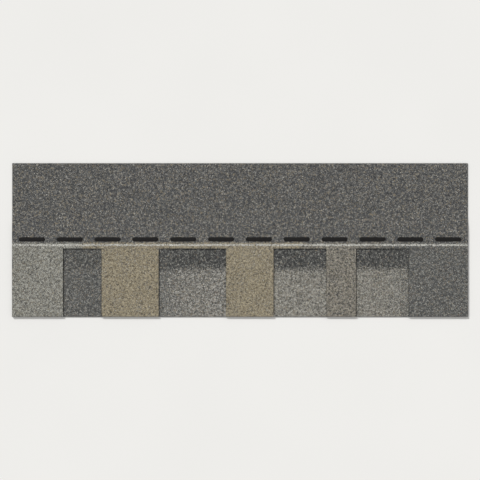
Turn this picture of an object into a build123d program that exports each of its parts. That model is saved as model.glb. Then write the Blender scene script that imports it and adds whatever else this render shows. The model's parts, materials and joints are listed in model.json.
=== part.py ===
from build123d import *
import os
from itertools import cycle
from math import acos, asin, degrees

# One laminated asphalt shingle lying face up on a level deck, in millimetres.
# X runs along the shingle, Y from its butt edge to its top edge, Z up from the deck.
# The origin is on the deck, under the middle of the shingle.

# Overall size of a metric shingle
shingle_length = 1000.0
shingle_width = 337.0

# Thickness of each sheet with its granules
overlay_thickness = 2.6
backer_thickness = 2.4

# This much of the shingle shows once it is laid, and the cutouts run on a little above that
exposure = 143.0
cutout_overrun = 7.0

# Above the cutouts both sheets are bonded: a clear band for the nails, the row of sealant,
# and a margin up to the backer strip's top edge
nail_band = 15.0
dash_width = 10.0
bond_margin = 7.0

# Past the backer strip the overlay sheet comes down to the deck over this run
drape_run = 45.0

# The cutting die's teeth, each with the cutout that follows it; the pattern repeats
tooth_widths = (147.0, 126.0, 105.0, 66.0)
cutout_widths = (84.0, 147.0, 115.0, 115.0)

# The left end is chopped this far into the first tooth
first_tooth_lost = 35.0

# The die reaches this far past the sheet it cuts
die_overreach = 5.0

# Dashes of self-seal adhesive, with the width given above
dash_length = 58.0
dash_height = 0.9
dash_pitch = 83.0

# Places that follow from the sizes, measured along X or Y from the middle of the shingle
butt_edge = -shingle_width / 2
top_edge = shingle_width / 2
left_end = -shingle_length / 2
right_end = shingle_length / 2
cutout_top = butt_edge + exposure + cutout_overrun
dash_row = cutout_top + nail_band + dash_width / 2
backer_top = dash_row + dash_width / 2 + bond_margin
backer_width = backer_top - butt_edge
drape_end = backer_top + drape_run

# Two equal arcs, one after the other, take the sheet down by the backer strip's thickness
bend_radius = (drape_run**2 + backer_thickness**2) / (4 * backer_thickness)
bend_angle = degrees(acos(1 - backer_thickness / (2 * bend_radius)))

# The sealant's round top is part of a circle of this radius
bead_radius = (dash_width**2 / 4 + dash_height**2) / (2 * dash_height)


def sheet_line(lift):
    """The draped sheet's underside seen from its end, or a face that lies above it by lift."""
    on_backer = Line(
        (butt_edge, backer_thickness + lift), (backer_top, backer_thickness + lift)
    )
    bend_down = CenterArc(
        (backer_top, backer_thickness - bend_radius), bend_radius + lift, 90, -bend_angle
    )
    bend_level = CenterArc(
        (drape_end, bend_radius), bend_radius - lift, 270 - bend_angle, bend_angle
    )
    on_deck = Line((drape_end, lift), (top_edge, lift))
    return Curve() + [on_backer, bend_down, bend_level, on_deck]


def cutout_spans():
    """Where each cutout starts and stops along the shingle, walked from the left end."""
    spans = []
    here = left_end - first_tooth_lost
    for tooth, cutout in cycle(zip(tooth_widths, cutout_widths)):
        start = here + tooth
        if start >= right_end:
            return spans
        here = start + cutout
        spans.append((start, here))


def die_cut(start, stop):
    """What the die takes out of the overlay sheet between two teeth."""
    depth = cutout_top - butt_edge + die_overreach
    height = overlay_thickness + 2 * die_overreach
    block = Box(stop - start, depth, height, align=(Align.MIN, Align.MAX, Align.CENTER))
    return Pos(start, cutout_top, backer_thickness + overlay_thickness / 2) * block


def overlay_sheet():
    """The full sheet with its teeth, draped off the backer strip onto the deck."""
    underside = sheet_line(0)
    face = sheet_line(overlay_thickness)
    edges = [Line(underside @ end, face @ end) for end in (0, 1)]
    section = make_face(Plane.YZ * (underside + face + edges))
    sheet = extrude(section, amount=shingle_length / 2, both=True)
    for start, stop in cutout_spans():
        sheet -= die_cut(start, stop)
    return sheet


def backer_strip():
    """The second sheet under the teeth, which shows through the cutouts."""
    on_butt_edge = (Align.CENTER, Align.MIN, Align.MIN)
    strip = Box(shingle_length, backer_width, backer_thickness, align=on_butt_edge)
    return Pos(0, butt_edge, 0) * strip


def sealant_dash():
    """A flattened bead of adhesive with round ends, lying along X."""
    centre = (0, dash_height - bead_radius)
    rim_angle = degrees(asin(1 - dash_height / bead_radius))
    floor = Line((0, 0), (dash_width / 2, 0))
    crown = CenterArc(centre, bead_radius, rim_angle, 90 - rim_angle)
    middle = Line((0, dash_height), (0, 0))
    half_section = make_face(Plane.YZ * (floor + crown + middle))
    straight = dash_length - dash_width
    run = extrude(half_section, amount=straight / 2, both=True)
    run += mirror(run, Plane.XZ)
    end = Pos(straight / 2, 0, 0) * revolve(half_section, Axis.Z, -180)
    return run + end + mirror(end, Plane.YZ)


def sealant_row():
    """The dashes in a row over the top of the backer strip, centred along the shingle."""
    count = int(shingle_length // dash_pitch)
    first = -(count - 1) * dash_pitch / 2
    height = backer_thickness + overlay_thickness
    dash = Pos(first, dash_row, height) * sealant_dash()
    return [Pos(number * dash_pitch, 0, 0) * dash for number in range(count)]


parts = {"overlay_sheet": overlay_sheet(), "backer_strip": backer_strip()}
for number, dash in enumerate(sealant_row(), start=1):
    parts[f"sealant_dash_{number:02d}"] = dash

os.makedirs("parts", exist_ok=True)
for name, solid in parts.items():
    export_step(solid, f"parts/{name}.step")
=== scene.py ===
import json
import math

import bpy
import numpy as np
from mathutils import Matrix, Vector, noise


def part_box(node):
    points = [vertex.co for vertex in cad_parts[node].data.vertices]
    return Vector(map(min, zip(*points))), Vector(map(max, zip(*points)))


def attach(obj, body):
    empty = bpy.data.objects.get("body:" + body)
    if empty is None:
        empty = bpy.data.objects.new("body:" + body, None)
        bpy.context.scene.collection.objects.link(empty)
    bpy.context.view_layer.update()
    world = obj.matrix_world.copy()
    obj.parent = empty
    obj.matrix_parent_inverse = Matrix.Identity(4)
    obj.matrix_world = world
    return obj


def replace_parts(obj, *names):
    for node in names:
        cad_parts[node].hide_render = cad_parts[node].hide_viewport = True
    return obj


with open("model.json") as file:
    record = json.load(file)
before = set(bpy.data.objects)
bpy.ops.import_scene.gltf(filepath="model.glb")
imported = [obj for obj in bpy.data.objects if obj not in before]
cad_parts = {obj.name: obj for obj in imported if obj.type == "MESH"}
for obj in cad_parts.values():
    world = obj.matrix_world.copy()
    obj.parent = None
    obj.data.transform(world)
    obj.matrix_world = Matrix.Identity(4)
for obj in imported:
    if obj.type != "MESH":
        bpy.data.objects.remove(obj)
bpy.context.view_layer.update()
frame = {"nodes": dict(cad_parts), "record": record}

# Places from the frame, in metres. Y runs from the butt edge to the top edge
BACKER_LOW, BACKER_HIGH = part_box("backer_strip")
SHEET_LOW, SHEET_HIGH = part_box("overlay_sheet")
LEFT, BUTT_EDGE = SHEET_LOW.x, SHEET_LOW.y
RIGHT, TOP_EDGE = SHEET_HIGH.x, SHEET_HIGH.y
BACKER_TOP = BACKER_HIGH.y
BACKER_THICKNESS = BACKER_HIGH.z
OVERLAY_THICKNESS = SHEET_HIGH.z - BACKER_THICKNESS

# The frame's openings stand this far inside the cutouts
OPENING_MARGIN = 0.0005
OPENINGS = [box["box_m"] for box in frame["record"]["physics"]["openings"]]
CUTOUTS = [(low[0] - OPENING_MARGIN, high[0] + OPENING_MARGIN) for low, high in OPENINGS]
CUTOUT_TOP = OPENINGS[0][1][1] + OPENING_MARGIN

# The overlay sheet comes down off the backer strip over this run, in two equal arcs
DRAPE_RUN = 0.045
DRAPE_STATIONS = 17
BEND_RADIUS = (DRAPE_RUN**2 + BACKER_THICKNESS**2) / (4 * BACKER_THICKNESS)

# Where the dark band begins in the cutouts, where the painted nail line is and how wide,
# where the headlap's granules begin, and where the release film is on the back. The places
# are measured up from the butt edge
SHADOW_BAND_LOW = 0.1045
NAIL_LINE = 0.1575
NAIL_LINE_WIDTH = 0.0042
HEADLAP_LINE = 0.1625
RELEASE_FILM = (0.154, 0.178)

# The two sizes of granule: its cell, its height beside the tallest one's, and the least
# reach of a granule as a share of the cell
GRANULE_KINDS = [(0.0020, 1.0, 0.40), (0.00115, 0.62, 0.46)]

# How much further a granule may reach, its least height as a share of its kind's, how
# steeply its dome falls off, how much it leans and how far its outline is bent
EXTRA_REACH = 0.20
LEAST_HEIGHT = 0.65
DOME_POWER = 2.6
LEAN = 0.75
WOBBLE = 0.0007

# How far the tallest granules stand out of the asphalt, how far below the sheet's face that
# is, and how deep their coat goes in
RELIEF = 0.00058
COAT_ROOT = 0.00042
COAT_DEPTH = 0.00055

# Spacing of a coat's points on the exposed part and on the headlap, and how far they are
# shaken off their grid, as a share of it
EXPOSED_STEP = 0.00085
HEADLAP_STEP = 0.00102
GRID_SHAKE = 0.28

# A cut edge wanders in by up to this far, and keeps this share of the relief at most
RAGGED_EDGE = 0.0006
CRUSHED_EDGE = 0.3

# The two sheets are bonded up to this far from every edge where the joint shows
JOINT_GROOVE = 0.001

# Coats that share a piece, by number from the left end. They lie far apart, because a long
# piece gets a larger texture when its colours are baked
TOOTH_GROUPS = [(1, 3, 5), (2, 4)]
CUTOUT_GROUPS = [(1, 4), (2, 3)]
HEADLAP_GROUPS = [(1, 3), (2, 4)]
HEADLAP_PANELS = 4

HALVES = (0.5, 0.5, 0.5)
rng = np.random.default_rng(7)


def srgb(red, green, blue):
    """A colour given as it looks on a screen, as the linear colour that a shader takes."""
    def linear(value):
        share = value / 255
        return share / 12.92 if share <= 0.04045 else ((share + 0.055) / 1.055) ** 2.4
    return (linear(red), linear(green), linear(blue), 1.0)


# Each blend is a list of granule colours with the share of granules that have it
LIGHT_GREY = [
    (0.37, srgb(162, 161, 153)),
    (0.31, srgb(129, 128, 120)),
    (0.13, srgb(135, 129, 113)),
    (0.19, srgb(88, 88, 84)),
]
PALE_GREY = [
    (0.34, srgb(163, 161, 153)),
    (0.31, srgb(126, 124, 116)),
    (0.15, srgb(135, 128, 112)),
    (0.20, srgb(82, 81, 78)),
]
WARM_GREY = [
    (0.28, srgb(168, 166, 159)),
    (0.14, srgb(138, 129, 113)),
    (0.32, srgb(124, 123, 118)),
    (0.26, srgb(77, 77, 74)),
]
TAN = [
    (0.32, srgb(161, 152, 130)),
    (0.40, srgb(144, 134, 111)),
    (0.08, srgb(130, 126, 115)),
    (0.16, srgb(121, 110, 88)),
    (0.04, srgb(85, 78, 67)),
]
TAN_GREY = [
    (0.25, srgb(155, 149, 137)),
    (0.34, srgb(126, 121, 108)),
    (0.15, srgb(122, 121, 116)),
    (0.18, srgb(83, 79, 73)),
    (0.08, srgb(56, 56, 55)),
]
CHARCOAL = [
    (0.38, srgb(69, 70, 70)),
    (0.34, srgb(96, 97, 95)),
    (0.11, srgb(109, 102, 90)),
    (0.17, srgb(137, 137, 132)),
]
DIM_CHARCOAL = [
    (0.42, srgb(60, 61, 61)),
    (0.34, srgb(86, 87, 85)),
    (0.10, srgb(102, 96, 85)),
    (0.14, srgb(134, 134, 129)),
]
SHADOW = [
    (0.42, srgb(46, 47, 46)),
    (0.34, srgb(68, 68, 68)),
    (0.17, srgb(98, 99, 96)),
    (0.07, srgb(131, 131, 125)),
]
HEADLAP = [
    (0.36, srgb(60, 61, 62)),
    (0.34, srgb(84, 85, 85)),
    (0.18, srgb(120, 119, 115)),
    (0.07, srgb(152, 150, 144)),
    (0.05, srgb(122, 113, 96)),
]
STRAY = [
    (0.30, srgb(68, 68, 68)),
    (0.32, srgb(120, 118, 112)),
    (0.20, srgb(168, 166, 158)),
    (0.13, srgb(144, 133, 111)),
    (0.05, srgb(114, 96, 84)),
]

# From the left end: the blends of the overlay sheet's teeth, where along the shingle each
# changes to the next, and over what distance the two mix
TOOTH_BLENDS = [LIGHT_GREY, TAN, TAN, TAN_GREY, CHARCOAL]
TOOTH_BORDERS = [(start + stop) / 2 for start, stop in CUTOUTS]
TOOTH_SPREADS = [0.012, 0.018, 0.014, 0.075]

# The same for the backer strip in the cutouts, and for the dark band across their upper
# part. The first border lies this far into the second cutout, and the last one at the end
# of the fourth
FIRST_BORDER_IN = 0.018
CUTOUT_BLENDS = [CHARCOAL, WARM_GREY, PALE_GREY, CHARCOAL]
CUTOUT_BORDERS = [
    CUTOUTS[1][0] + FIRST_BORDER_IN,
    (CUTOUTS[1][1] + CUTOUTS[2][0]) / 2,
    CUTOUTS[3][1],
]
CUTOUT_SPREADS = [0.055, 0.020, 0.100]
BAND_BLENDS = [DIM_CHARCOAL, SHADOW]

# How far the painted line, the headlap's lower limit and the dark band's lower limit are
# speckled, how far that last one sways, and the share of granules that take the paint
LINE_SPREAD = 0.0008
HEADLAP_SPREAD = 0.0035
BAND_SPREAD = 0.0135
BAND_SWAY = 0.008
PAINTED_SHARE = 0.80

# How strongly granules of one colour cluster, how far asphalt covers the colour where it
# shows, and the height of the finest bumps beside the granules
CLUSTERING = 1.7
ASPHALT_COVER = 0.8
FINE_BUMPS = 0.22

ASPHALT = srgb(38, 37, 36)
DUSTY_ASPHALT = srgb(96, 93, 88)
GLASS_MAT = srgb(150, 146, 134)
DARK_SAND = srgb(62, 61, 59)
PALE_SAND = srgb(134, 131, 124)
SAND_STREAK = srgb(112, 110, 104)
FILM = srgb(150, 150, 148)
SEALANT = srgb(22, 21, 21)
SEALANT_DUST = srgb(104, 100, 93)
PAINT = srgb(194, 193, 186)
BACKDROP = srgb(238, 237, 234)
FLOOR_TONES = (srgb(231, 230, 227), srgb(236, 235, 232))


class Tree:
    """Short ways to add nodes to a shader or geometry tree."""

    def __init__(self, tree):
        self.tree = tree

    def give(self, node, key, value):
        """Links another node's output to an input, or sets the input to a plain value."""
        if isinstance(value, bpy.types.NodeSocket):
            self.tree.links.new(value, node.inputs[key])
        else:
            node.inputs[key].default_value = value

    def add(self, kind, inputs=(), **settings):
        node = self.tree.nodes.new(kind)
        for name, value in settings.items():
            setattr(node, name, value)
        for key, value in dict(inputs).items():
            self.give(node, key, value)
        return node

    def math(self, operation, *values, clamp=False):
        inputs = dict(enumerate(values))
        return self.add("ShaderNodeMath", inputs, operation=operation, use_clamp=clamp).outputs[0]

    def vector_math(self, operation, *values):
        inputs = dict(enumerate(values))
        output = 1 if operation == "DOT_PRODUCT" else 0
        return self.add("ShaderNodeVectorMath", inputs, operation=operation).outputs[output]

    def split(self, vector):
        return self.add("ShaderNodeSeparateXYZ", {0: vector}).outputs

    def mix_value(self, share, first, second):
        inputs = {0: share, 2: first, 3: second}
        return self.add("ShaderNodeMix", inputs, data_type="FLOAT").outputs[0]

    def mix_vector(self, share, first, second):
        inputs = {0: share, 4: first, 5: second}
        return self.add("ShaderNodeMix", inputs, data_type="VECTOR").outputs[1]

    def mix_colour(self, share, first, second, blend="MIX"):
        inputs = {0: share, 6: first, 7: second}
        return self.add("ShaderNodeMix", inputs, data_type="RGBA", blend_type=blend).outputs[2]

    def between(self, share, low, high):
        """From low to high, as share goes from 0 to 1."""
        return self.math("MULTIPLY_ADD", share, high - low, low)

    def ramp(self, value, none, full):
        """0 where the value is none, 1 where it is full, and a smooth way between."""
        inputs = {0: value, 1: none, 2: full, 3: 0.0, 4: 1.0}
        return self.add("ShaderNodeMapRange", inputs, interpolation_type="SMOOTHSTEP").outputs[0]

    def noise(self, vector, scale, detail=2.0, output=0):
        """A soft pattern about 0.5, as a value or, from output 1, as a colour."""
        inputs = {"Vector": vector, "Scale": scale, "Detail": detail}
        return self.add("ShaderNodeTexNoise", inputs, noise_dimensions="3D").outputs[output]

    def cells(self, vector, size, dimensions="2D"):
        """Cells of about this size: distance from the middle, random colour and middle."""
        inputs = {"Vector": vector, "Scale": 1 / size, "Randomness": 1.0}
        node = self.add("ShaderNodeTexVoronoi", inputs, voronoi_dimensions=dimensions, feature="F1")
        return node.outputs[:3]

    def pick(self, chance, blend):
        """One colour of a blend, picked by a random number from 0 to 1."""
        node = self.add("ShaderNodeValToRGB", {0: chance})
        node.color_ramp.interpolation = "CONSTANT"
        stops = node.color_ramp.elements
        start = 0.0
        for number, (share, colour) in enumerate(blend):
            stop = stops[number] if number < 2 else stops.new(start)
            stop.position = start
            stop.color = colour
            start += share
        return node.outputs[0]


def granule_field(tree, place):
    """How far the granules stand out at a place on the plan, from 0 to about 1, with each
    granule's middle, a random colour for it and how far the asphalt shows."""
    place = tree.vector_math("MULTIPLY", place, (1.0, 1.0, 0.0))
    wobble = tree.noise(place, scale=1500.0, detail=1.0, output=1)
    wobble = tree.vector_math("SUBTRACT", wobble, HALVES)
    wobble = tree.vector_math("MULTIPLY", wobble, (WOBBLE, WOBBLE, 0.0))
    bent = tree.vector_math("ADD", place, wobble)
    domes, middles, chances = [], [], []
    for size, tall, least in GRANULE_KINDS:
        distance, chance, middle = tree.cells(bent, size)
        random = tree.split(chance)
        reach = tree.between(random[0], least, least + EXTRA_REACH)
        share = tree.math("DIVIDE", distance, reach)
        dome = tree.math("SUBTRACT", 1.0, tree.math("POWER", share, DOME_POWER))
        height = tree.math("MULTIPLY", dome, tree.between(random[1], LEAST_HEIGHT * tall, tall))
        away = tree.vector_math("SUBTRACT", bent, middle)
        lean = tree.vector_math("DOT_PRODUCT", away, tree.vector_math("SUBTRACT", chance, HALVES))
        domes.append(tree.math("MULTIPLY_ADD", lean, LEAN / size, height))
        middles.append(middle)
        chances.append(chance)
    big_shows = tree.math("GREATER_THAN", domes[0], domes[1])
    height = tree.math("MAXIMUM", tree.math("MAXIMUM", domes[0], domes[1]), 0.0)
    return {
        "height": height,
        "middle": tree.mix_vector(big_shows, middles[1], middles[0]),
        "chance": tree.mix_vector(big_shows, chances[1], chances[0]),
        "asphalt": tree.ramp(height, none=0.16, full=0.02),
    }


def material(name):
    """A new material with its tree, its shader and the place of each point."""
    made = bpy.data.materials.new(name)
    made.use_nodes = True
    tree = Tree(made.node_tree)
    shader = made.node_tree.nodes["Principled BSDF"]
    place = tree.add("ShaderNodeTexCoord").outputs["Object"]
    return made, tree, shader, place


def connect(tree, shader, colour, roughness, specular, height, distance):
    """Gives the shader its colour and shine, and a bump of that height times distance."""
    bump = tree.add("ShaderNodeBump", {"Strength": 1.0, "Distance": distance, "Height": height})
    tree.give(shader, "Base Color", colour)
    tree.give(shader, "Roughness", roughness)
    tree.give(shader, "Normal", bump.outputs[0])
    shader.inputs["Specular IOR Level"].default_value = specular


def scattered(tree, value, chances, spread):
    """A coordinate moved at random for each granule, so that a line drawn by it is speckled."""
    both = tree.math("ADD", chances[0], chances[1])
    return tree.math("MULTIPLY_ADD", tree.math("SUBTRACT", both, 1.0), spread, value)


def blends_along(tree, x, chance, chances, blends, borders, spreads):
    """The blends in a row along the shingle, each changing to the next about a border."""
    colour = tree.pick(chance, blends[0])
    for blend, border, spread in zip(blends[1:], borders, spreads):
        past = tree.math("GREATER_THAN", scattered(tree, x, chances, spread), border)
        colour = tree.mix_colour(past, colour, tree.pick(chance, blend))
    return colour


def shaded(tree, colour, place, chance):
    """The granules' colour with a tone of its own for each, and lighter and darker places."""
    tone = tree.between(chance, low=0.89, high=1.11)
    cloud = tree.between(tree.noise(place, scale=16.0), low=0.89, high=1.11)
    clump = tree.between(tree.noise(place, scale=210.0, detail=1.0), low=0.55, high=1.45)
    grain = tree.between(tree.noise(place, scale=5200.0, detail=1.0), low=0.85, high=1.15)
    coarse = tree.math("MULTIPLY", tone, cloud)
    shade = tree.math("MULTIPLY", coarse, tree.math("MULTIPLY", clump, grain))
    grey = tree.add("ShaderNodeCombineColor", {0: shade, 1: shade, 2: shade}).outputs[0]
    return tree.mix_colour(1.0, colour, grey, blend="MULTIPLY")


def granule_material(name, add_colours):
    """Granules pressed into asphalt. add_colours picks each granule's colour."""
    made, tree, shader, place = material(name)
    field = granule_field(tree, place)
    own = tree.split(field["chance"])
    middle = tree.split(field["middle"])
    extra = tree.add("ShaderNodeTexWhiteNoise", {"Vector": field["middle"]}, noise_dimensions="2D")
    chances = tree.split(extra.outputs["Color"])

    # Granules of one colour lie in small clusters, and strays of any colour in wide patches
    cluster = tree.math("SUBTRACT", tree.noise(field["middle"], scale=170.0, detail=1.0), 0.5)
    chance = tree.math("MULTIPLY_ADD", cluster, CLUSTERING, own[2], clamp=True)
    colour = add_colours(tree, middle, chance, chances)
    mottle = tree.ramp(tree.noise(place, scale=38.0, detail=3.0), none=0.42, full=0.72)
    stray = tree.math("LESS_THAN", chances[2], tree.between(mottle, low=0.04, high=0.24))
    colour = tree.mix_colour(stray, colour, tree.pick(own[2], STRAY))
    colour = shaded(tree, colour, place, extra.outputs["Value"])

    # Asphalt shows between granules and where a cut edge has lost them
    rises = tree.add("ShaderNodeAttribute", attribute_name="rises").outputs["Fac"]
    crushed = tree.ramp(rises, none=0.90, full=0.50)
    asphalt = tree.math("MAXIMUM", field["asphalt"], crushed)
    colour = tree.mix_colour(tree.math("MULTIPLY", asphalt, ASPHALT_COVER), colour, ASPHALT)

    roughness = tree.between(chances[0], low=0.58, high=0.93)
    fine = tree.noise(place, scale=3300.0)
    height = tree.math("MULTIPLY_ADD", fine, FINE_BUMPS, field["height"])
    connect(tree, shader, colour, roughness, specular=0.35, height=height, distance=RELIEF / 2)
    return made


def overlay_colours(tree, middle, chance, chances):
    """Tooth blends side by side, the plain headlap above them and the painted nail line."""
    colour = blends_along(
        tree, middle[0], chance, chances, TOOTH_BLENDS, TOOTH_BORDERS, TOOTH_SPREADS
    )
    up = tree.math("SUBTRACT", middle[1], BUTT_EDGE)
    edge = scattered(tree, up, chances, HEADLAP_SPREAD)
    above = tree.math("GREATER_THAN", edge, HEADLAP_LINE)
    colour = tree.mix_colour(above, colour, tree.pick(chance, HEADLAP))
    off_line = tree.math("ABSOLUTE", tree.math("SUBTRACT", up, NAIL_LINE))
    off_line = scattered(tree, off_line, chances, LINE_SPREAD)
    on_line = tree.math("LESS_THAN", off_line, NAIL_LINE_WIDTH / 2)
    painted = tree.math("MULTIPLY", on_line, tree.math("LESS_THAN", chances[2], PAINTED_SHARE))
    return tree.mix_colour(painted, colour, PAINT)


def backer_colours(tree, middle, chance, chances):
    """The cutouts' blends side by side, with the dark band across their upper part."""
    colour = blends_along(
        tree, middle[0], chance, chances, CUTOUT_BLENDS, CUTOUT_BORDERS, CUTOUT_SPREADS
    )
    band = blends_along(
        tree, middle[0], chance, chances, BAND_BLENDS, CUTOUT_BORDERS, CUTOUT_SPREADS
    )
    up = tree.math("SUBTRACT", middle[1], BUTT_EDGE)
    place = tree.add("ShaderNodeCombineXYZ", {0: middle[0], 1: middle[1]}).outputs[0]
    sway = tree.between(tree.noise(place, scale=30.0), -BAND_SWAY, BAND_SWAY)
    edge = scattered(tree, tree.math("ADD", up, sway), chances, BAND_SPREAD)
    return tree.mix_colour(tree.math("GREATER_THAN", edge, SHADOW_BAND_LOW), colour, band)


def core_material(name, film=False):
    """Cut asphalt with its glass mat on the edges, fine mineral dust on the back, and where
    the release film is, its smooth clear strip."""
    made, tree, shader, place = material(name)
    depth = tree.add("ShaderNodeAttribute", attribute_name="depth").outputs["Fac"]
    normal = tree.split(tree.add("ShaderNodeNewGeometry").outputs["True Normal"])
    faces_down = tree.math("LESS_THAN", normal[2], -0.5)

    # The mat is in the middle of the asphalt under the granules, and its strands lie level
    specks = tree.noise(place, scale=2600.0)
    edge = tree.mix_colour(tree.ramp(specks, none=0.52, full=0.70), ASPHALT, DUSTY_ASPHALT)
    off_mat = tree.math("ABSOLUTE", tree.math("SUBTRACT", depth, 0.5))
    near_mat = tree.ramp(off_mat, none=0.10, full=0.05)
    strands = tree.noise(tree.vector_math("MULTIPLY", place, (1.0, 1.0, 9.0)), scale=900.0)
    in_mat = tree.math("MULTIPLY", near_mat, tree.ramp(strands, none=0.44, full=0.60))
    edge = tree.mix_colour(in_mat, edge, GLASS_MAT)

    # The dust's grains, and the streaks along the shingle that the rollers leave in it
    distance, chance, _ = tree.cells(place, size=0.00045, dimensions="3D")
    back = tree.mix_colour(tree.split(chance)[0], DARK_SAND, PALE_SAND)
    stretched = tree.vector_math("MULTIPLY", place, (0.25, 3.0, 1.0))
    streaks = tree.noise(stretched, scale=40.0, detail=3.0)
    back = tree.mix_colour(tree.ramp(streaks, none=0.35, full=0.75), back, SAND_STREAK)
    roughness = 0.9
    if film:
        film_tint = 0.35
        film_roughness = 0.18
        up = tree.math("SUBTRACT", tree.split(place)[1], BUTT_EDGE)
        over_low = tree.math("GREATER_THAN", up, RELEASE_FILM[0])
        under_high = tree.math("LESS_THAN", up, RELEASE_FILM[1])
        inside = tree.math("MULTIPLY", tree.math("MULTIPLY", over_low, under_high), faces_down)
        back = tree.mix_colour(tree.math("MULTIPLY", inside, film_tint), back, FILM)
        roughness = tree.mix_value(inside, roughness, film_roughness)
    colour = tree.mix_colour(faces_down, edge, back)
    height = tree.mix_value(faces_down, specks, tree.math("SUBTRACT", 1.0, distance))
    connect(tree, shader, colour, roughness, specular=0.4, height=height, distance=0.00018)
    return made


def sealant_material():
    """Black asphalt adhesive, with mineral fines in specks and on its skirt."""
    skirt_top, skirt_foot = 0.0006, 0.0002
    skirt_dust, speck_dust = 0.45, 0.25
    least_rough, most_rough = 0.55, 0.85
    made, tree, shader, place = material("sealant_asphalt")
    rise = tree.math("SUBTRACT", tree.split(place)[2], SHEET_HIGH.z)
    uneven = tree.math("MULTIPLY", tree.noise(place, scale=900.0), skirt_top)
    skirt = tree.ramp(tree.math("ADD", rise, uneven), none=skirt_top, full=skirt_foot)
    specks = tree.ramp(tree.noise(place, scale=1900.0), none=0.60, full=0.74)
    skirt = tree.math("MULTIPLY", skirt, skirt_dust)
    dust = tree.math("MAXIMUM", skirt, tree.math("MULTIPLY", specks, speck_dust))
    colour = tree.mix_colour(dust, SEALANT, SEALANT_DUST)
    clean = tree.between(tree.noise(place, scale=260.0), least_rough, most_rough)
    roughness = tree.mix_value(dust, clean, most_rough)
    stretched = tree.vector_math("MULTIPLY", place, (0.5, 1.3, 1.0))
    wrinkles = tree.noise(stretched, scale=420.0, detail=3.0)
    connect(tree, shader, colour, roughness, specular=0.14, height=wrinkles, distance=0.0003)
    return made


def underside(y):
    """Height of the overlay sheet's underside above the floor at each y."""
    y = np.asarray(y, float)
    into = np.clip(y - BACKER_TOP, 0, DRAPE_RUN / 2)
    left = np.clip(BACKER_TOP + DRAPE_RUN - y, 0, DRAPE_RUN / 2)
    upper = BACKER_THICKNESS - BEND_RADIUS + np.sqrt(BEND_RADIUS**2 - into**2)
    lower = BEND_RADIUS - np.sqrt(BEND_RADIUS**2 - left**2)
    return np.where(y < BACKER_TOP + DRAPE_RUN / 2, upper, lower)


def new_piece(name, vertices, faces, slot, finish, **values):
    """A piece of the object, which rides on the one body, from its points and faces. Each
    of the values is a named number for every point."""
    mesh = bpy.data.meshes.new(name)
    mesh.from_pydata([tuple(v) for v in vertices], [], [tuple(f) for f in faces])
    for key, numbers in values.items():
        attribute = mesh.attributes.new(key, "FLOAT", "POINT")
        attribute.data.foreach_set("value", np.asarray(numbers, np.float32))
    mesh.materials.append(finish)
    mesh.validate()
    piece = bpy.data.objects.new(name, mesh)
    bpy.context.scene.collection.objects.link(piece)
    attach(piece, "root")
    return piece


def core(name, xs, ys, level, heights, slot, finish):
    """A closed sheet over a grid of cells. level gives the number of the height that a cell
    reaches up to, and 0 is both the sheet's underside and an opening."""
    columns, rows = len(xs) - 1, len(ys) - 1
    levels = np.zeros((columns + 1, rows + 1), int)
    for i, j in np.ndindex(columns, rows):
        levels[i, j] = level(i, j)
    index, vertices, depth = {}, [], []

    def corner(i, j, number):
        if (i, j, number) not in index:
            index[i, j, number] = len(vertices)
            low, first, here = (float(heights[each](ys[j])) for each in (0, 1, number))
            vertices.append((xs[i], ys[j], here))
            depth.append((here - low) / (first - low))
        return index[i, j, number]

    faces = []
    for i, j in np.argwhere(levels):
        around = [(i, j), (i + 1, j), (i + 1, j + 1), (i, j + 1)]
        faces.append([corner(*c, levels[i, j]) for c in around])
        faces.append([corner(*c, 0) for c in reversed(around)])
        beside = [(i, j - 1), (i + 1, j), (i, j + 1), (i - 1, j)]
        for side, neighbour in enumerate(beside):
            a, b = around[side], around[(side + 1) % 4]
            for low in range(levels[neighbour], levels[i, j]):
                up = low + 1
                faces.append([corner(*a, low), corner(*b, low), corner(*b, up), corner(*a, up)])
    return new_piece(name, vertices, faces, slot, finish, depth=depth)


def stations(breaks, step):
    """The breaks with evenly spaced stations between them, no further apart than step."""
    parts = []
    for low, high in zip(breaks, breaks[1:]):
        count = max(1, math.ceil((high - low) / step))
        parts.append(np.linspace(low, high, count, endpoint=False))
    return np.append(np.concatenate(parts), breaks[-1])


def relief_group():
    """Geometry nodes that lift the points of a coat by the granule field."""
    group = bpy.data.node_groups.new("granule_relief", "GeometryNodeTree")
    for way in ("INPUT", "OUTPUT"):
        group.interface.new_socket("Geometry", in_out=way, socket_type="NodeSocketGeometry")
    tree = Tree(group)
    start = tree.add("NodeGroupInput")
    place = tree.add("GeometryNodeInputPosition").outputs[0]
    rises = tree.add("GeometryNodeInputNamedAttribute", {"Name": "rises"}, data_type="FLOAT")
    height = tree.math("MULTIPLY", granule_field(tree, place)["height"], RELIEF)
    height = tree.math("MULTIPLY", height, rises.outputs[0])
    lift = tree.add("ShaderNodeCombineXYZ", {2: height}).outputs[0]
    moved = tree.add("GeometryNodeSetPosition", {"Geometry": start.outputs[0], "Offset": lift})
    tree.add("NodeGroupOutput", {0: moved.outputs[0]})
    return group


def shaken_grid(xs, ys, step, ragged):
    """A grid's x and y with the inner places shaken, and each place's share of the relief.
    ragged names the sides that are cut edges, where granules are crushed or knocked off."""
    x, y = np.meshgrid(xs, ys, indexing="ij")
    rises = np.ones_like(x)
    for inner in (x[1:-1, 1:-1], y[1:-1, 1:-1]):
        inner += step * GRID_SHAKE * rng.uniform(-1, 1, inner.shape)
    sides = {
        "left": ((0, slice(None)), x, 1),
        "right": ((-1, slice(None)), x, -1),
        "butt": ((slice(None), 0), y, 1),
        "top": ((slice(None), -1), y, -1),
    }
    for side, (index, along, inward) in sides.items():
        if side in ragged:
            along[index] += inward * RAGGED_EDGE * rng.random(along[index].shape) ** 2
            rises[index] = CRUSHED_EDGE * rng.random(along[index].shape)
    return x, y, rises


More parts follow.
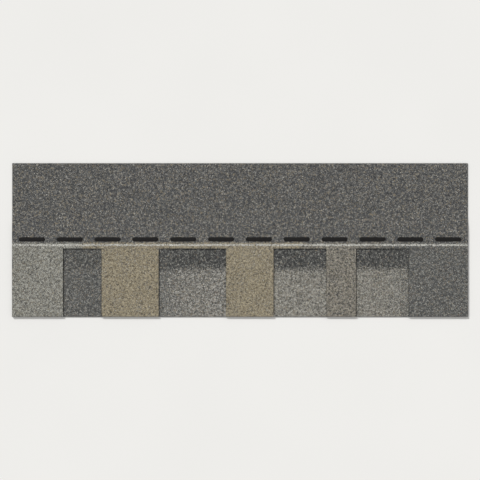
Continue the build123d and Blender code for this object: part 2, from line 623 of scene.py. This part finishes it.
def closed_grid(columns, rows):
    """The rim of a grid's points in order, and the faces of the grid with walls and a back.
    The back's points come after the grid's, one below each of the rim's. The back is in
    strips from side to side, so that it can bend with the drape."""
    number = np.arange(columns * rows).reshape(columns, rows)
    quads = np.stack([number[:-1, :-1], number[1:, :-1], number[1:, 1:], number[:-1, 1:]], -1)
    rim = np.concatenate([number[:-1, 0], number[-1, :-1], number[:0:-1, -1], number[0, :0:-1]])
    below = np.arange(len(rim)) + number.size
    walls = np.stack([below, np.roll(below, -1), np.roll(rim, -1), rim], -1)

    under = np.zeros_like(number)
    under.reshape(-1)[rim] = below
    left, right = under[0], under[-1]
    strips = np.stack([left[1:-2], left[2:-1], right[2:-1], right[1:-2]], -1)
    first = [left[1], right[1], *under[::-1, 0]]
    last = [*under[:, -1], right[-2], left[-2]]
    faces = [*quads.reshape(-1, 4).tolist(), *walls.tolist(), *strips.tolist(), first, last]
    return rim, faces


def coat_patch(x_span, y_span, step, surface, ragged):
    """Points, faces and shares of the relief of a flat coat over a rectangle, with its back."""
    x, y, rises = shaken_grid(stations(x_span, step), stations(y_span, step), step, ragged)
    upper = np.stack([x, y, surface(y) - COAT_ROOT], -1).reshape(-1, 3)
    rim, faces = closed_grid(*x.shape)
    lower = upper[rim].copy()
    lower[:, 2] = surface(lower[:, 1]) - COAT_DEPTH
    return np.concatenate([upper, lower]), faces, np.append(rises, np.zeros(len(lower)))


def granule_piece(name, patches, slot, finish):
    """One piece of some patches of a sheet's granules, with their real relief."""
    faces = []
    start = 0
    for points, patch_faces, _ in patches:
        faces += [[start + point for point in face] for face in patch_faces]
        start += len(points)
    vertices = np.concatenate([points for points, _, _ in patches])
    rises = np.concatenate([rises for _, _, rises in patches])
    piece = new_piece(name, vertices, faces, slot, finish, rises=rises)
    piece.modifiers.new("relief", "NODES").node_group = RELIEF_GROUP
    bpy.context.view_layer.update()
    shaped = piece.evaluated_get(bpy.context.evaluated_depsgraph_get())
    mesh = bpy.data.meshes.new_from_object(shaped)
    piece.modifiers.clear()
    piece.data = mesh
    mesh.name = name


def granule_pieces(name, patches, groups, slot, finish):
    """A piece for each group of patches, which are numbered from the left end."""
    for group in groups:
        numbers = "_".join(str(number) for number in group)
        granule_piece(f"{name}_{numbers}", [patches[number - 1] for number in group], slot, finish)


def bar_outline(share, straight, radius):
    """A place on the spine of a round-ended bar, and the way from there to the bar's outline,
    at this share of the way round from the middle of its right end."""
    corner = math.pi * radius / 2
    along = min(share, 1 - share) * 2 * (2 * corner + straight)
    spine = straight / 2 - min(max(along - corner, 0), straight)
    turn = (min(along, corner) + max(along - corner - straight, 0)) / radius
    return spine, math.cos(turn), math.copysign(math.sin(turn), 0.5 - share)


def bead_points(low, high, sides, rings):
    """Points of a squeezed bead in rings, from its wandering outline in to its uneven crown."""
    innermost = 0.03
    skirt_height, crown_height, crown_power, lump_height = 0.12, 0.78, 2.6, 0.28
    middle_reach, drift_reach = 0.96, 0.12

    # Scales of the two noises: drift along the bead and round its ends, lumps along and across
    drift_along, drift_round = 150, 1.6
    lumps_along, lumps_across = 130, 260
    centre = (low + high) / 2
    radius = (high.y - low.y) / 2
    straight = high.x - low.x - 2 * radius
    tall = high.z - low.z

    # Each bead has its own part of both noises
    drift_start = Vector((centre.x * 50, 3.0, 7.0))
    lump_start = centre.x * 40
    points = []
    for ring in range(rings):
        share = 1 - ring / (rings - 1) * (1 - innermost)
        for side in range(sides):
            spine, way_x, way_y = bar_outline(side / sides, straight, radius)
            place = Vector((spine * drift_along, way_x * drift_round, way_y * drift_round))
            drift = noise.noise(place + drift_start)
            reach = radius * share * (middle_reach + drift_reach * drift)
            x = spine + way_x * reach
            y = way_y * reach
            lump = noise.noise(Vector((x * lumps_along, y * lumps_across, lump_start)))
            crown = crown_height * (1 - share**crown_power) * (1 + lump_height * lump)
            rise = skirt_height + crown
            points.append((centre.x + x, centre.y + y, low.z + tall * min(rise, 1)))
    return points


def bead(name, low, high, finish):
    """A dash of sealant with its foot set among the granules."""
    sides, rings = 150, 9
    vertices = bead_points(low, high, sides, rings)
    crown = len(vertices) - sides
    foot = len(vertices)
    vertices += [(x, y, low.z - COAT_ROOT) for x, y, _ in vertices[:sides]]
    faces = []
    for side in range(sides):
        after = (side + 1) % sides
        for ring in range(rings - 1):
            a, b = ring * sides + side, ring * sides + after
            faces.append((a, b, b + sides, a + sides))
        faces.append((foot + side, foot + after, after, side))

    # Strips across the crown, of which the first and the last are triangles
    for side in range(sides // 2):
        across = [side, side + 1, (sides - side - 1) % sides, (sides - side) % sides]
        faces.append([crown + i for i in dict.fromkeys(across)])
    faces.append([foot + side for side in reversed(range(sides))])
    piece = new_piece(name, vertices, faces, "sealant", finish)
    piece.data.shade_smooth()
    return piece


RELIEF_GROUP = relief_group()


def build_overlay():
    """The overlay sheet: an asphalt core with coats of granules on its teeth and headlap."""
    breaks = [LEFT] + [edge for span in CUTOUTS for edge in span] + [RIGHT]
    drape = np.linspace(BACKER_TOP, BACKER_TOP + DRAPE_RUN, DRAPE_STATIONS)
    ys = [BUTT_EDGE, CUTOUT_TOP, *drape, TOP_EDGE]

    def level(i, j):
        return 0 if i % 2 == 1 and j == 0 else 1

    heights = [underside, lambda y: underside(y) + OVERLAY_THICKNESS - COAT_DEPTH]
    asphalt = core_material("overlay_asphalt")
    core_piece = core("overlay_core", breaks, ys, level, heights, "overlay", asphalt)
    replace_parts(core_piece, "overlay_sheet")
    finish = granule_material("overlay_granules", overlay_colours)

    def surface(y):
        return underside(y) + OVERLAY_THICKNESS

    exposed = (BUTT_EDGE, CUTOUT_TOP)
    teeth = [
        coat_patch(span, exposed, EXPOSED_STEP, surface, ("left", "right", "butt"))
        for span in zip(breaks[::2], breaks[1::2])
    ]
    granule_pieces("tooth_granules", teeth, TOOTH_GROUPS, "overlay", finish)
    above = (CUTOUT_TOP, TOP_EDGE)
    panels = np.linspace(LEFT, RIGHT, HEADLAP_PANELS + 1)
    headlap = []
    for start, stop in zip(panels, panels[1:]):
        ends = [side for side, edge in (("left", LEFT), ("right", RIGHT)) if edge in (start, stop)]
        headlap.append(coat_patch((start, stop), above, HEADLAP_STEP, surface, (*ends, "top")))
    granule_pieces("headlap_granules", headlap, HEADLAP_GROUPS, "overlay", finish)


def build_backer():
    """The backer strip: an asphalt core with a coat of granules in each cutout. The core is
    at its full height where the overlay sheet is bonded to it."""
    groove = JOINT_GROOVE
    ends = (LEFT + groove, RIGHT - groove)
    beside = [edge for low, high in CUTOUTS for edge in (low - groove, high + groove)]
    xs = [LEFT, ends[0], *beside, ends[1], RIGHT]
    ys = [BUTT_EDGE, BUTT_EDGE + groove, CUTOUT_TOP + groove, BACKER_TOP]

    def level(i, j):
        under_tooth = j == 1 and i % 2 == 1
        above_cutouts = j == 2 and 0 < i < len(xs) - 2
        return 2 if under_tooth or above_cutouts else 1

    heights = [lambda y: 0.0, lambda y: BACKER_THICKNESS - COAT_DEPTH, lambda y: BACKER_THICKNESS]
    asphalt = core_material("backer_asphalt", film=True)
    core_piece = core("backer_core", xs, ys, level, heights, "backer", asphalt)
    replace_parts(core_piece, "backer_strip")
    finish = granule_material("backer_granules", backer_colours)

    def surface(y):
        return np.full(np.shape(y), BACKER_THICKNESS)

    exposed = (BUTT_EDGE, CUTOUT_TOP)
    coats = [coat_patch(span, exposed, EXPOSED_STEP, surface, ("butt",)) for span in CUTOUTS]
    granule_pieces("cutout_granules", coats, CUTOUT_GROUPS, "backer", finish)


def build_sealant():
    """The row of sealant dashes."""
    finish = sealant_material()
    for name in sorted(frame["nodes"]):
        if name.startswith("sealant_dash"):
            low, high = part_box(name)
            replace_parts(bead(name.replace("dash", "bead"), low, high, finish), name)


def add_floor():
    """A plain pale floor, just under the shingle."""
    reach = 20.0
    gap = 0.0002
    corners = [(-reach, -reach, 0), (reach, -reach, 0), (reach, reach, 0), (-reach, reach, 0)]
    mesh = bpy.data.meshes.new("floor")
    mesh.from_pydata(corners, [], [(0, 1, 2, 3)])
    made, tree, shader, place = material("floor_paint")
    colour = tree.mix_colour(tree.noise(place, scale=3.0), *FLOOR_TONES)
    tree.give(shader, "Base Color", colour)
    shader.inputs["Roughness"].default_value = 1.0
    shader.inputs["Specular IOR Level"].default_value = 0.0
    mesh.materials.append(made)
    floor = bpy.data.objects.new("floor", mesh)
    floor.location.z = -gap
    bpy.context.scene.collection.objects.link(floor)


def add_light():
    """Soft light from the upper left, as in the photograph, with an even sky. The strengths
    are shares of the light on level ground at which a colour renders as it is written."""
    sky_share = 0.55
    sun_share = 0.50
    sun_width = math.radians(9)
    towards_light = Vector((-0.58, 0.78, 0.68)).normalized()
    lamp = bpy.data.lights.new("key", "SUN")
    lamp.energy = sun_share * math.pi / towards_light.z
    lamp.angle = sun_width
    key = bpy.data.objects.new("key", lamp)
    key.rotation_mode = "QUATERNION"
    key.rotation_quaternion = towards_light.to_track_quat("Z", "Y")
    bpy.context.scene.collection.objects.link(key)

    world = bpy.data.worlds.new("studio")
    bpy.context.scene.world = world
    world.use_nodes = True
    tree = Tree(world.node_tree)
    tree.tree.nodes.clear()
    ray = tree.add("ShaderNodeLightPath").outputs
    shiny = tree.math("MAXIMUM", ray["Is Glossy Ray"], ray["Is Transmission Ray"])
    seen = tree.math("MAXIMUM", ray["Is Camera Ray"], shiny)
    sky = tree.add("ShaderNodeBackground", {"Color": (1, 1, 1, 1), "Strength": sky_share})
    backdrop = tree.add("ShaderNodeBackground", {"Color": BACKDROP, "Strength": 1.0})
    both = tree.add("ShaderNodeMixShader", {0: seen, 1: sky.outputs[0], 2: backdrop.outputs[0]})
    tree.add("ShaderNodeOutputWorld", {"Surface": both.outputs[0]})


def add_camera():
    """Straight down on the shingle, as in the photograph. The shingle takes up most of the
    picture's width."""
    share_of_width = 0.95
    camera = bpy.data.cameras.new("camera")
    camera.lens = 85
    distance = (RIGHT - LEFT) / share_of_width * camera.lens / camera.sensor_width
    seen = bpy.data.objects.new("camera", camera)
    seen.location = (0, 0, SHEET_HIGH.z + distance)
    bpy.context.scene.collection.objects.link(seen)
    bpy.context.scene.camera = seen


build_overlay()
build_backer()
build_sealant()
add_floor()
add_light()
add_camera()
bpy.context.scene.view_settings.view_transform = "Standard"
